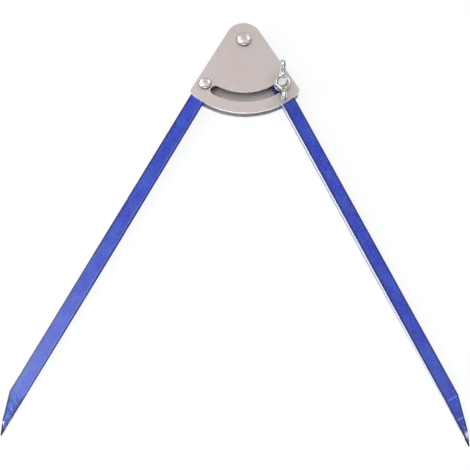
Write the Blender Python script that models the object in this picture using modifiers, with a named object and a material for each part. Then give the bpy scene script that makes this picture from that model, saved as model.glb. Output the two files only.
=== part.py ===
"""Workshop compass of flat bar, with sector plates, a pivot rivet and a wing nut that locks the right leg.

The compass lies flat with the wing nut up. X runs to the right, Y runs up the plates' centre line, and Z
points out of the front. The origin is on the pivot's axis, at the flat end of the pivot rivet's tail.
All sizes are in metres.
"""

import math

import bmesh
import bpy
from mathutils import Matrix

# Gaps and small workings
seat_gap = 0.0003
lap_gap = 0.0006
cut_overrun = 0.002
weld_distance = 0.00005
round_steps = 48
corner_steps = 8
crisp_angle = math.radians(35)
ground_crisp_angle = math.radians(20)
rim_angle = math.radians(50)

# Legs, each a flat bar whose outer edge runs into a round eye about the pivot
bar_width = 0.016
bar_thickness = 0.010
bar_inner_offset = 0.0042
bar_edge_round = 0.0007
fixed_leg_reach = 0.514
swing_leg_reach = 0.516
eye_fillet = 0.004
fixed_leg_angle = math.radians(30.2)
swing_leg_angle = math.radians(25.5)

# Points, ground on the outer edge and on both faces
fixed_taper_length = 0.043
swing_taper_length = 0.052
point_length = 0.013
point_width = 0.0064
point_thickness = 0.0055
tip_width = 0.0009
tip_thickness = 0.0012

# Sector plates
plate_thickness = 0.0025
plate_margin = 0.0008
plate_rim = 0.0135
plate_half_angle = math.radians(31.25)
plate_corner_radius = 0.0055
plate_edge_chamfer = 0.0003

# Curved slot in the front plate, on the pitch circle of the stud and the second rivet. It ends short
# of that rivet's head on the left, and a little past the stud on the right.
pitch_radius = 0.0715
slot_side_clearance = 0.001
slot_rivet_land = 0.0017
slot_open_travel = math.radians(3.2)

# Rivets
pivot_shank_radius = 0.005
pivot_head_radius = 0.0084
pivot_head_height = 0.0052
pivot_tail_radius = 0.0078
fixing_shank_radius = 0.004
fixing_head_radius = 0.0070
fixing_head_height = 0.0046
fixing_tail_radius = 0.0064
head_side_height = 0.0009
tail_height = 0.0016
tail_edge_round = 0.0014
head_roundness = 2.4

# Stud, with its tail riveted flush into the back of the leg. It stands a little outside the bar's
# middle and a little inside the slot's.
stud_radius = 0.005
stud_side_shift = 0.001
stud_slot_inset = 0.0005
stud_end_chamfer = 0.0005
stud_proud = 0.0006
stud_tail_flare = 0.0015
stud_tail_depth = 0.0016

# Washer
washer_radius = 0.0087
washer_thickness = 0.0016
washer_edge_chamfer = 0.0003

# Wing nut, whose casting sits a little to the right of its thread
hub_base_radius = 0.0092
hub_top_radius = 0.0083
hub_height = 0.0079
hub_edge_round = 0.0009
hub_base_chamfer = 0.0003
bore_mouth_chamfer = 0.0011
casting_offset = 0.0008
wing_reach = 0.0233
wing_height = 0.0195
wing_width = 0.0125
wing_thickness = 0.0084

# Wing sections from the hub outward: radius, height of the middle, width and thickness,
# each as a share of the wing's reach, height, width and thickness
wing_section_shares = (
    (0.18, 0.20, 0.56, 1.30),
    (0.34, 0.23, 0.56, 1.12),
    (0.50, 0.36, 0.62, 0.92),
    (0.68, 0.56, 0.84, 0.88),
    (0.87, 0.74, 1.05, 0.88),
    (0.99, 0.82, 0.62, 0.70),
)
wing_corner_share = 0.55

# Sizes that follow
eye_radius = bar_inner_offset + bar_width
bar_centre_offset = bar_inner_offset + bar_width / 2
plate_top_radius = eye_radius + plate_margin
slot_half_width = stud_radius + slot_side_clearance
plate_reach = pitch_radius + slot_half_width + plate_rim
pivot_hole_radius = pivot_shank_radius + seat_gap
fixing_hole_radius = fixing_shank_radius + seat_gap
stud_hole_radius = stud_radius + seat_gap
stud_tail_radius = stud_radius + stud_tail_flare

# Places of the second rivet and the stud along their bars, and their bearings from straight down
stud_side_offset = bar_centre_offset + stud_side_shift
stud_pitch_radius = pitch_radius - stud_slot_inset
fixing_station = math.sqrt(pitch_radius ** 2 - bar_centre_offset ** 2)
stud_station = math.sqrt(stud_pitch_radius ** 2 - stud_side_offset ** 2)
fixing_bearing = -(fixed_leg_angle + math.atan2(bar_centre_offset, fixing_station))
stud_bearing = swing_leg_angle + math.atan2(stud_side_offset, stud_station)
slot_end_chord = slot_half_width + slot_rivet_land + fixing_head_radius
slot_closed_angle = fixing_bearing + 2 * math.asin(slot_end_chord / (2 * pitch_radius))
slot_open_angle = stud_bearing + slot_open_travel

# Levels, from the rivets' tails up
rear_plate_back = tail_height + seat_gap
rear_plate_front = rear_plate_back + plate_thickness
leg_back = rear_plate_front + seat_gap
leg_middle = leg_back + bar_thickness / 2
leg_front = leg_back + bar_thickness
front_plate_back = leg_front + seat_gap
front_plate_front = front_plate_back + plate_thickness
head_seat = front_plate_front + seat_gap
nut_base = head_seat + washer_thickness + seat_gap
stud_end = nut_base + hub_height + stud_proud


def clear_scene():
    for old in list(bpy.data.objects):
        bpy.data.objects.remove(old, do_unlink=True)


def add_collection(name):
    collection = bpy.data.collections.new(name)
    bpy.context.scene.collection.children.link(collection)
    return collection


clear_scene()
parts = add_collection("carpenters_compass")
cutters = add_collection("cutters")


def add_material(name, colour, roughness, metallic):
    material = bpy.data.materials.new(name)
    material.use_nodes = True
    shader = material.node_tree.nodes["Principled BSDF"]
    shader.inputs["Base Color"].default_value = (*colour, 1.0)
    shader.inputs["Roughness"].default_value = roughness
    shader.inputs["Metallic"].default_value = metallic
    material.diffuse_color = (*colour, 1.0)
    return material


def arc(centre, radius, start, end, steps):
    """Points along an arc, both ends included."""
    points = []
    for step in range(steps + 1):
        angle = start + (end - start) * step / steps
        points.append((centre[0] + radius * math.cos(angle), centre[1] + radius * math.sin(angle)))
    return points


def polar_down(radius, angle):
    """Place at an angle from straight down, to the right where the angle is positive."""
    return radius * math.sin(angle), -radius * math.cos(angle)


def finish_object(piece, material, smooth_angle=crisp_angle):
    """Shades a mesh smooth with crisp corners and gives it its material."""
    piece.data.shade_smooth()
    piece.data.set_sharp_from_angle(angle=smooth_angle)
    piece.data.materials.append(material)
    return piece


def hide_cutter(piece):
    piece.hide_render = True
    piece.display_type = 'WIRE'
    return piece


def extruded(name, outlines, thickness, collection):
    """A flat outline with holes, as a filled 2D curve made into a welded mesh about Z = 0."""
    curve = bpy.data.curves.new(name, 'CURVE')
    curve.dimensions = '2D'
    curve.fill_mode = 'BOTH'
    curve.extrude = thickness / 2
    for outline in outlines:
        spline = curve.splines.new('POLY')
        spline.points.add(len(outline) - 1)
        for point, place in zip(spline.points, outline):
            point.co = (place[0], place[1], 0.0, 1.0)
        spline.use_cyclic_u = True
    flat = bpy.data.objects.new(name + "_outline", curve)
    bpy.context.scene.collection.objects.link(flat)
    bpy.context.view_layer.update()
    mesh = bpy.data.meshes.new_from_object(flat.evaluated_get(bpy.context.evaluated_depsgraph_get()))
    welded = bmesh.new()
    welded.from_mesh(mesh)
    bmesh.ops.remove_doubles(welded, verts=welded.verts, dist=weld_distance)
    bmesh.ops.recalc_face_normals(welded, faces=welded.faces)
    welded.to_mesh(mesh)
    welded.free()
    mesh.materials.clear()
    piece = bpy.data.objects.new(name, mesh)
    piece.matrix_world = flat.matrix_world
    collection.objects.link(piece)
    bpy.data.objects.remove(flat, do_unlink=True)
    bpy.data.curves.remove(curve)
    return piece


def turned(name, profile, collection, closed=False):
    """A solid turned about Z from a profile that runs down its outer side."""
    mesh = bpy.data.meshes.new(name)
    edges = [(k, k + 1) for k in range(len(profile) - 1)]
    if closed:
        edges.append((len(profile) - 1, 0))
    mesh.from_pydata([(radius, 0.0, height) for radius, height in profile], edges, [])
    piece = bpy.data.objects.new(name, mesh)
    collection.objects.link(piece)
    screw = piece.modifiers.new("turn", 'SCREW')
    screw.axis = 'Z'
    screw.steps = round_steps
    screw.render_steps = round_steps
    screw.use_merge_vertices = True
    screw.merge_threshold = weld_distance
    screw.use_smooth_shade = True
    return piece


def round_edges(piece, width, segments):
    """Rounds or chamfers a flat piece's rims, before anything is cut from it."""
    bevel = piece.modifiers.new("rounded_rims", 'BEVEL')
    bevel.width = width
    bevel.segments = segments
    bevel.limit_method = 'ANGLE'
    bevel.angle_limit = rim_angle


def join_or_cut(piece, tool, operation):
    boolean = piece.modifiers.new(tool.name, 'BOOLEAN')
    boolean.operation = operation
    boolean.solver = 'EXACT'
    boolean.object = tool
    hide_cutter(tool)


def carry(piece, parent):
    """Parents a piece where it stands in its parent's own frame."""
    piece.parent = parent
    return piece


# Sector plates

def sector_outline():
    """Round top about the pivot, straight sides that touch it, rounded corners and a bottom arc."""
    arm = plate_top_radius - plate_corner_radius
    along = math.sqrt((plate_reach - plate_corner_radius) ** 2 - arm ** 2)
    corner_x = arm * math.cos(plate_half_angle) + along * math.sin(plate_half_angle)
    corner_y = arm * math.sin(plate_half_angle) - along * math.cos(plate_half_angle)
    corner_bearing = math.atan2(corner_y, corner_x)
    left_bearing = -math.pi - corner_bearing
    points = arc((0, 0), plate_top_radius, plate_half_angle, math.pi - plate_half_angle, round_steps // 2)
    points += arc((-corner_x, corner_y), plate_corner_radius,
                  math.pi - plate_half_angle, 2 * math.pi + left_bearing, corner_steps)
    points += arc((0, 0), plate_reach, left_bearing, corner_bearing, round_steps // 2)[1:-1]
    points += arc((corner_x, corner_y), plate_corner_radius, corner_bearing, plate_half_angle, corner_steps)
    return points


def slot_outline():
    """Curved slot with round ends on the pitch circle."""
    outer_radius = pitch_radius + slot_half_width
    inner_radius = pitch_radius - slot_half_width
    left = slot_closed_angle - math.pi / 2
    right = slot_open_angle - math.pi / 2
    points = arc((0, 0), outer_radius, left, right, round_steps // 2)
    points += arc(polar_down(pitch_radius, slot_open_angle), slot_half_width, right, right + math.pi,
                  corner_steps * 2)[1:-1]
    points += arc((0, 0), inner_radius, right, left, round_steps // 2)
    points += arc(polar_down(pitch_radius, slot_closed_angle), slot_half_width, left + math.pi,
                  left + 2 * math.pi, corner_steps * 2)[1:-1]
    return points


def hole_outline(centre, radius):
    return arc(centre, radius, 0, 2 * math.pi, round_steps)[:-1]


fixing_place = polar_down(pitch_radius, fixing_bearing)
stud_place = polar_down(stud_pitch_radius, stud_bearing)


def make_plate(name, back, slotted, material):
    outlines = [sector_outline(), hole_outline((0, 0), pivot_hole_radius),
                hole_outline(fixing_place, fixing_hole_radius)]
    if slotted:
        outlines.append(slot_outline())
    plate = extruded(name, outlines, plate_thickness, parts)
    plate.location.z = back + plate_thickness / 2
    round_edges(plate, plate_edge_chamfer, 1)
    return finish_object(plate, material)


# Legs

def leg_outline(side, reach):
    """Eye about the pivot, outer edge touching it, square end, and inner edge with a fillet into the eye.

    The leg runs down -Y, with its outer edge at positive X for side 1 and at negative X for side -1.
    """
    fillet_x = bar_inner_offset - eye_fillet
    fillet_y = -math.sqrt((eye_radius + eye_fillet) ** 2 - fillet_x ** 2)
    fillet_bearing = math.atan2(fillet_y, fillet_x)
    points = arc((0, 0), eye_radius, 0, 2 * math.pi + fillet_bearing, round_steps)
    points += arc((fillet_x, fillet_y), eye_fillet, math.pi + fillet_bearing, 0, corner_steps)[1:]
    points += [(bar_inner_offset, -reach), (bar_inner_offset + bar_width, -reach)]
    points = [(side * x, y) for x, y in points]
    return points if side > 0 else points[::-1]


def point_cutters(name, side, reach, taper_length):
    """Cutters that grind the outer edge and both faces down to the tip."""
    start = -(reach - taper_length)
    base = -(reach - point_length)
    end = -reach
    outside = bar_inner_offset + bar_width + cut_overrun
    slope_run = cut_overrun
    edge_rise = (bar_width - point_width) / (taper_length - point_length) * slope_run
    tip_fall = (point_width - tip_width) / point_length * slope_run
    outline = [(outside - cut_overrun + edge_rise, start + slope_run), (bar_inner_offset + point_width, base),
               (bar_inner_offset + tip_width - tip_fall, end - slope_run), (outside, end - slope_run),
               (outside, start + slope_run)]
    side_grind = extruded(name + "_side_grind", [[(side * x, y) for x, y in outline]],
                          bar_thickness + 2 * cut_overrun, cutters)
    side_grind.location.z = leg_middle
    grinds = [side_grind]

    face_rise = (bar_thickness - point_thickness) / 2 / (taper_length - point_length) * slope_run
    face_fall = (point_thickness - tip_thickness) / 2 / point_length * slope_run
    above = bar_thickness / 2 + cut_overrun
    profile = [(-start - slope_run, bar_thickness / 2 + face_rise), (-base, point_thickness / 2),
               (-end + slope_run, tip_thickness / 2 - face_fall), (-end + slope_run, above),
               (-start - slope_run, above)]
    along_leg = Matrix(((0, 0, -1), (-1, 0, 0), (0, 1, 0))).to_4x4()
    for word, sign in (("front", 1), ("rear", -1)):
        face_grind = extruded(name + "_" + word + "_grind", [[(s, sign * z) for s, z in profile]],
                              2 * outside, cutters)
        face_grind.matrix_world = Matrix.Translation((0, 0, leg_middle)) @ along_leg
        grinds.append(face_grind)
    return grinds


def lap_cutter(name, eye_in_front):
    """Clears the half of the thickness that the other leg's eye fills, with a running gap round it."""
    radius = eye_radius + lap_gap
    far = bar_thickness / 2 + cut_overrun
    low, high = (-far, seat_gap / 2) if eye_in_front else (-seat_gap / 2, far)
    lap = turned(name + "_lap", [(0, high), (radius, high), (radius, low), (0, low)], cutters)
    lap.location.z = leg_middle
    return lap


def hole_cutter(name, place, radius):
    far = bar_thickness / 2 + cut_overrun
    hole = turned(name, [(0, far), (radius, far), (radius, -far), (0, -far)], cutters)
    hole.location = (*place, leg_middle)
    return hole


def stud_hole_cutter(place):
    """Hole for the stud, with a countersink at the back for its riveted tail."""
    far = bar_thickness / 2 + cut_overrun
    back = -bar_thickness / 2
    mouth = stud_tail_radius + seat_gap
    neck = back + stud_tail_depth
    profile = [(0, far), (stud_hole_radius, far), (stud_hole_radius, neck), (mouth, back), (mouth, -far), (0, -far)]
    hole = turned("swing_leg_stud_hole", profile, cutters)
    hole.location = (*place, leg_middle)
    return hole


def make_leg(name, side, angle, reach, taper_length, eye_in_front, own_holes, material):
    leg = extruded(name, [leg_outline(side, reach)], bar_thickness, parts)
    leg.data.transform(Matrix.Translation((0, 0, leg_middle)))
    round_edges(leg, bar_edge_round, 2)
    tools = point_cutters(name, side, reach, taper_length)
    tools.append(lap_cutter(name, eye_in_front))
    tools.append(hole_cutter(name + "_pivot_hole", (0, 0), pivot_hole_radius))
    for tool in tools + own_holes:
        carry(tool, leg)
        join_or_cut(leg, tool, 'DIFFERENCE')
    leg.rotation_euler.z = side * angle
    return finish_object(leg, material, ground_crisp_angle)


# Rivets, stud and washer

def rivet_profile(shank_radius, head_radius, head_height, tail_radius):
    """Full round head, shank, and a tail hammered flat with a rounded edge."""
    shoulder = head_seat + head_side_height
    rise = head_height - head_side_height
    power = 2 / head_roundness
    profile = []
    for step in range(corner_steps + 1):
        angle = math.pi / 2 * (1 - step / corner_steps)
        profile.append((head_radius * max(math.cos(angle), 0) ** power, shoulder + rise * math.sin(angle) ** power))
    profile[0] = (0, shoulder + rise)
    profile += [(head_radius, head_seat), (shank_radius, head_seat), (shank_radius, tail_height)]
    profile += [(tail_radius, tail_height)]
    centre = (tail_radius - tail_edge_round, tail_edge_round)
    profile += arc(centre, tail_edge_round, 0, -math.pi / 2, corner_steps // 2)
    profile.append((0, 0))
    return profile


def make_rivet(name, place, sizes, material):
    rivet = turned(name, rivet_profile(*sizes), parts)
    rivet.location = (*place, 0)
    return finish_object(rivet, material)


def make_stud(material):
    profile = [(0, stud_end), (stud_radius - stud_end_chamfer, stud_end), (stud_radius, stud_end - stud_end_chamfer),
               (stud_radius, leg_back + stud_tail_depth), (stud_tail_radius, leg_back), (0, leg_back)]
    return finish_object(turned("lock_stud", profile, parts), material)


def make_washer(material):
    inner = stud_radius + seat_gap
    chamfer = washer_edge_chamfer
    top = washer_thickness
    profile = [(inner, top), (washer_radius - chamfer, top), (washer_radius, top - chamfer),
               (washer_radius, chamfer), (washer_radius - chamfer, 0), (inner, 0)]
    washer = turned("clamp_washer", profile, parts, closed=True)
    washer.location.z = head_seat
    return finish_object(washer, material)


# Wing nut

def wing_ring(section, direction):
    """Eight corners of one wing section, square to the wing's middle line."""
    radius, height, half_width, half_thickness = section
    along = math.atan2(direction[1], direction[0])
    corners = []
    flat = wing_corner_share
    for across, up in ((1, -flat), (1, flat), (flat, 1), (-flat, 1), (-1, flat), (-1, -flat), (-flat, -1), (flat, -1)):
        rise = up * half_width
        corners.append((across * half_thickness, radius - rise * math.sin(along), height + rise * math.cos(along)))
    return corners


def make_wing(name, turn):
    """One swept wing: a coarse cage through its sections, smoothed into a cast lobe."""
    sections = []
    for radius, height, width, thickness in wing_section_shares:
        sections.append((radius * wing_reach, height * wing_height, width * wing_width / 2,
                         thickness * wing_thickness / 2))
    cage = bmesh.new()
    rings = []
    for index, section in enumerate(sections):
        before = sections[max(index - 1, 0)]
        after = sections[min(index + 1, len(sections) - 1)]
        direction = (after[0] - before[0], after[1] - before[1])
        rings.append([cage.verts.new(corner) for corner in wing_ring(section, direction)])
    for ring, following in zip(rings, rings[1:]):
        for k in range(len(ring)):
            n = (k + 1) % len(ring)
            cage.faces.new((ring[k], ring[n], following[n], following[k]))
    cage.faces.new(rings[0])
    cage.faces.new(rings[-1])
    bmesh.ops.recalc_face_normals(cage, faces=cage.faces)
    mesh = bpy.data.meshes.new(name)
    cage.to_mesh(mesh)
    cage.free()
    wing = bpy.data.objects.new(name, mesh)
    cutters.objects.link(wing)
    smooth = wing.modifiers.new("cast_form", 'SUBSURF')
    smooth.levels = 2
    smooth.render_levels = 2
    wing.rotation_euler.z = turn
    return wing


def make_wing_nut(material):
    """The casting about its own middle, bored beside it on the stud's axis."""
    round_points = arc((hub_top_radius - hub_edge_round, hub_height - hub_edge_round), hub_edge_round,
                       math.pi / 2, 0, corner_steps // 2)
    profile = [(0, hub_height)] + round_points
    profile += [(hub_base_radius, hub_base_chamfer), (hub_base_radius - hub_base_chamfer, 0), (0, 0)]
    nut = turned("wing_nut", profile, parts)
    for name, turn in (("upper_wing", 0.0), ("lower_wing", math.pi)):
        wing = carry(make_wing(name, turn), nut)
        join_or_cut(nut, wing, 'UNION')
    far = hub_height + cut_overrun
    mouth = stud_hole_radius + bore_mouth_chamfer
    bore_profile = [(0, far), (mouth, far), (mouth, hub_height), (stud_hole_radius, hub_height - bore_mouth_chamfer),
                    (stud_hole_radius, -cut_overrun), (0, -cut_overrun)]
    bore = carry(turned("wing_nut_bore", bore_profile, cutters), nut)
    bore.location.x = -casting_offset
    join_or_cut(nut, bore, 'DIFFERENCE')
    nut.location = (casting_offset, 0, nut_base)
    return finish_object(nut, material)


def add_axis(name, place):
    """An empty that stands on a joint's axis."""
    axis = bpy.data.objects.new(name, None)
    axis.empty_display_size = bar_width
    axis.location = (*place, 0)
    parts.objects.link(axis)
    return axis


def build():
    brushed_plate = add_material("brushed_stainless_sheet", (0.56, 0.52, 0.50), 0.34, 1.0)
    blue_paint = add_material("blue_enamel_on_steel", (0.035, 0.075, 0.52), 0.36, 0.0)
    bright_rivet = add_material("bright_steel_rivet", (0.66, 0.63, 0.61), 0.2, 1.0)
    zinc_plate = add_material("zinc_plated_steel", (0.64, 0.65, 0.62), 0.3, 1.0)
    zinc_cast = add_material("zinc_plated_casting", (0.66, 0.68, 0.64), 0.36, 1.0)

    make_plate("rear_sector_plate", rear_plate_back, False, brushed_plate)
    make_plate("front_sector_plate", front_plate_back, True, brushed_plate)

    fixing_local = (-bar_centre_offset, -fixing_station)
    stud_local = (stud_side_offset, -stud_station)
    fixing_hole = hole_cutter("fixed_leg_rivet_hole", fixing_local, fixing_hole_radius)
    stud_hole = stud_hole_cutter(stud_local)
    make_leg("fixed_leg", -1, fixed_leg_angle, fixed_leg_reach, fixed_taper_length, True, [fixing_hole], blue_paint)
    make_leg("swing_leg", 1, swing_leg_angle, swing_leg_reach, swing_taper_length, False, [stud_hole], blue_paint)

    make_rivet("pivot_rivet", (0, 0),
               (pivot_shank_radius, pivot_head_radius, pivot_head_height, pivot_tail_radius), bright_rivet)
    make_rivet("fixed_leg_rivet", fixing_place,
               (fixing_shank_radius, fixing_head_radius, fixing_head_height, fixing_tail_radius), bright_rivet)

    stud_axis = add_axis("stud_axis", stud_place)
    for piece in (make_stud(zinc_plate), make_washer(zinc_plate), make_wing_nut(zinc_cast)):
        carry(piece, stud_axis)


build()
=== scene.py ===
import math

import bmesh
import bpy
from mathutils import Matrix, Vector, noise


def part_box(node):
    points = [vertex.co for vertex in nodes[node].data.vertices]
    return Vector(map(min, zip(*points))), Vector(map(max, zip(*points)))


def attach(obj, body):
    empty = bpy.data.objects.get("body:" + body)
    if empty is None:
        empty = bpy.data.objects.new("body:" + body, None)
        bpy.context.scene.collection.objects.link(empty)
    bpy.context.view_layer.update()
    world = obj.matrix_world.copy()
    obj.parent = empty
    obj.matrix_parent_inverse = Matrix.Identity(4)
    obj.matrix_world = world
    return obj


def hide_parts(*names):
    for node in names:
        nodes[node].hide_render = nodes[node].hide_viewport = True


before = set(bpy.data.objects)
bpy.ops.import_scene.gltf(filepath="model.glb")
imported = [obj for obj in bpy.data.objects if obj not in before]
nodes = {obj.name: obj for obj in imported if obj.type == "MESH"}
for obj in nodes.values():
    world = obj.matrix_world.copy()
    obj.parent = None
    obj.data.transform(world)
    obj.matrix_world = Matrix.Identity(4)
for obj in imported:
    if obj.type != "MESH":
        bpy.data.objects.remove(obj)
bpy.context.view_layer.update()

# Looks of a workshop compass that lies flat: two blue painted legs, brushed stainless sector plates,
# peened rivets, and a zinc plated washer and wing nut on a threaded stud.
# X runs to the right, Y up the plates' centre line and Z out of the front. All sizes are in metres.

# Camera, where the photograph was taken from
camera_place = (-0.04995, -0.44081, 0.89408)
camera_turn = (0.23217, -0.03829, -0.01352)
frame_pixels = 470
focal_pixels = 821.6
sensor_width_mm = 36.0

# Bars of the legs
bar_inner_offset = 0.0042
bar_width = 0.016
point_length = 0.013
point_width = 0.0064
tip_width = 0.0009
outer_edge_shade_width = 0.0024
scuff_lean = math.radians(28)
ragged_reach = 0.010
tip_edge_shade_length = 0.046
tip_edge_shade_width = 0.0020

# Each leg: where its taper starts and its paint is worn, thin (with a painted highlight) and bare, as distances
# from its tip, the colours of the painted shade and highlights on its edges and sides, how much painted shade
# lies on it between the plates, and the painted highlights along its creases as distance from the tip, slant,
# width and strength
fixed_leg = {
    "name": "fixed_leg", "side": -1, "angle": math.radians(30.2), "reach": 0.514, "taper": 0.043,
    "outer_edge_shade": "#080C50", "inner_edge_shading": "#6674D4", "inner_edge_shading_share": 0.35, "inner_edge_shading_width": 0.0016,
    "inner_side_shading": "#0A1264", "between_plates_shade_share": 0.93, "worn": 0.049, "worn_share": 0.8, "thin": 0.0140,
    "thick": 0.0112, "thin_inside": 0.0, "bare": 0.0070, "steel": ("#241E2C", "#5C566C"),
    "creases": ()}
swing_leg = {
    "name": "swing_leg", "side": 1, "angle": math.radians(25.5), "reach": 0.516, "taper": 0.052,
    "outer_edge_shade": "#080C50", "inner_edge_shading": "#04073A", "inner_edge_shading_share": 0.95, "inner_edge_shading_width": 0.0028,
    "inner_side_shading": "#CCD0EE", "between_plates_shade_share": 0.0, "worn": 0.032, "worn_share": 0.8, "thin": 0.0142,
    "thick": 0.0020, "thin_inside": 0.9, "bare": 0.0086, "steel": ("#302C42", "#9894A8"),
    "creases": ((0.0515, 0.05, 0.0009, 0.35), (0.028, -0.1, 0.0009, 0.6))}

# Rivets and stud
head_seat = 0.0178
leg_back = 0.0047
leg_front = 0.0147
stud_radius = 0.005
stud_tail_radius = 0.0065
stud_tail_depth = 0.0016
stud_end_chamfer = 0.0005

# Wing nut: middle of its wings and of its thread, and the grooves beside the parting line
nut_x, nut_y = 0.0427475, -0.0572836
groove_offset = 0.00135
groove_half_width = 0.0006


# Materials

def linear(hex_colour):
    """An sRGB hex colour as linear red, green, blue and alpha."""
    channels = []
    for start in (1, 3, 5):
        value = int(hex_colour[start:start + 2], 16) / 255
        channels.append(value / 12.92 if value <= 0.04045 else ((value + 0.055) / 1.055) ** 2.4)
    return (*channels, 1.0)


def cell(x_mm, y_mm, z_mm):
    """Size of a pattern's cell, given in millimetres."""
    return (x_mm / 1000, y_mm / 1000, z_mm / 1000)


def add_node(tree, kind, settings=None, inputs=None):
    """Adds a shader node. Each input takes a value, or another node's output, which is linked."""
    node = tree.nodes.new(kind)
    for name, value in (settings or {}).items():
        setattr(node, name, value)
    for name, value in (inputs or {}).items():
        if isinstance(value, bpy.types.NodeSocket):
            tree.links.new(value, node.inputs[name])
        else:
            node.inputs[name].default_value = value
    return node


def start_material(name):
    """An empty material with its tree, its object coordinates and its object-space normal."""
    material = bpy.data.materials.new(name)
    material.use_nodes = True
    tree = material.node_tree
    tree.nodes.clear()
    coordinates = add_node(tree, 'ShaderNodeTexCoord')
    return material, tree, coordinates.outputs["Object"], coordinates.outputs["Normal"]


def leg_along(leg):
    """Direction from the pivot along a leg."""
    return (leg["side"] * math.sin(leg["angle"]), -math.cos(leg["angle"]), 0.0)


def leg_outward(leg):
    """Direction across a leg, out of the compass."""
    return (leg["side"] * math.cos(leg["angle"]), math.sin(leg["angle"]), 0.0)


def stainless_sheet(name, metallic, dull, bright, smooth, rough, heads):
    """Cold rolled stainless sheet, brushed along its length: warm grey, with faint upright streaks, painted
    highlights and painted shade on its rims, and a painted shadow line round each rivet head."""
    material, tree, place, normal = start_material(name)
    # Real brush lines are 0.1 mm wide, too fine to show, so the streaks are drawn 0.8 mm wide
    streak_place = add_node(tree, 'ShaderNodeMapping', {"vector_type": 'TEXTURE'},
                            {"Vector": place, "Scale": cell(0.8, 9, 9)})
    streaks = add_node(tree, 'ShaderNodeTexNoise', {},
                       {"Vector": streak_place.outputs["Vector"], "Scale": 1.0, "Detail": 3.0, "Roughness": 0.7})
    streak_share = add_node(tree, 'ShaderNodeMapRange', {"interpolation_type": 'SMOOTHSTEP'},
                            {"Value": streaks.outputs["Fac"], "From Min": 0.30, "From Max": 0.70})
    streaked = add_node(tree, 'ShaderNodeMix', {"data_type": 'RGBA'},
                        {0: streak_share.outputs["Result"], 6: linear(dull), 7: linear(bright)})
    # Handling leaves cloudy, greyer patches about 30 mm across
    cloud_place = add_node(tree, 'ShaderNodeMapping', {"vector_type": 'TEXTURE'},
                           {"Vector": place, "Scale": cell(28, 22, 28)})
    clouds = add_node(tree, 'ShaderNodeTexNoise', {},
                      {"Vector": cloud_place.outputs["Vector"], "Scale": 1.0, "Detail": 2.0, "Roughness": 0.5})
    cloud_share = add_node(tree, 'ShaderNodeMapRange', {"interpolation_type": 'SMOOTHSTEP'},
                           {"Value": clouds.outputs["Fac"], "From Min": 0.42, "From Max": 0.62, "To Max": 0.5})
    clouded = add_node(tree, 'ShaderNodeMix', {"data_type": 'RGBA'},
                       {0: cloud_share.outputs["Result"], 6: streaked.outputs[2], 7: linear("#B3ACAA")})
    # Rims facing the front are painted near white as a painted highlight, and the other rims are painted dull grey as
    # painted shade
    lean = add_node(tree, 'ShaderNodeSeparateXYZ', {}, {"Vector": normal})
    flatness = add_node(tree, 'ShaderNodeMath', {"operation": 'ABSOLUTE'}, {0: lean.outputs["Z"]})
    rim = add_node(tree, 'ShaderNodeMapRange', {"interpolation_type": 'SMOOTHSTEP'},
                   {"Value": flatness.outputs[0], "From Min": 0.80, "From Max": 0.97, "To Min": 1.0, "To Max": 0.0})
    bright_tone = add_node(tree, 'ShaderNodeMapRange', {"interpolation_type": 'SMOOTHSTEP'},
                      {"Value": lean.outputs["Y"], "From Min": -0.30, "From Max": -0.10,
                       "To Min": 1.0, "To Max": 0.0})
    rim_light_and_shade = add_node(tree, 'ShaderNodeMix', {"data_type": 'RGBA'},
                          {0: bright_tone.outputs["Result"], 6: linear("#7E7876"), 7: linear("#F4F3FA")})
    rimmed = add_node(tree, 'ShaderNodeMix', {"data_type": 'RGBA'},
                      {0: rim.outputs["Result"], 6: clouded.outputs[2], 7: rim_light_and_shade.outputs[2]})
    # A painted shadow line on the sheet round each rivet head
    for centre, head_radius in heads:
        from_centre = add_node(tree, 'ShaderNodeVectorMath', {"operation": 'DISTANCE'}, {0: place, 1: centre})
        painted_contact_shade = add_node(tree, 'ShaderNodeMapRange', {"interpolation_type": 'SMOOTHSTEP'},
                         {"Value": from_centre.outputs["Value"], "From Min": head_radius + 0.0002,
                          "From Max": head_radius + 0.0008, "To Min": 0.55, "To Max": 0.0})
        rimmed = add_node(tree, 'ShaderNodeMix', {"data_type": 'RGBA'},
                          {0: painted_contact_shade.outputs["Result"], 6: rimmed.outputs[2], 7: linear("#443E3C")})
    roughness = add_node(tree, 'ShaderNodeMapRange', {"interpolation_type": 'SMOOTHSTEP'},
                         {"Value": streaks.outputs["Fac"], "From Min": 0.25, "From Max": 0.75,
                          "To Min": smooth, "To Max": rough})
    line_place = add_node(tree, 'ShaderNodeMapping', {"vector_type": 'TEXTURE'},
                          {"Vector": place, "Scale": cell(0.35, 6, 6)})
    lines = add_node(tree, 'ShaderNodeTexNoise', {},
                     {"Vector": line_place.outputs["Vector"], "Scale": 1.0, "Detail": 2.0, "Roughness": 0.5})
    bump = add_node(tree, 'ShaderNodeBump', {}, {"Height": lines.outputs["Fac"], "Strength": 0.2, "Distance": 0.00004})
    shader = add_node(tree, 'ShaderNodeBsdfPrincipled', {}, {
        "Base Color": rimmed.outputs[2], "Metallic": metallic, "Roughness": roughness.outputs["Result"],
        "Normal": bump.outputs["Normal"]})
    add_node(tree, 'ShaderNodeOutputMaterial', {}, {"Surface": shader.outputs["BSDF"]})
    return material


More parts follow.
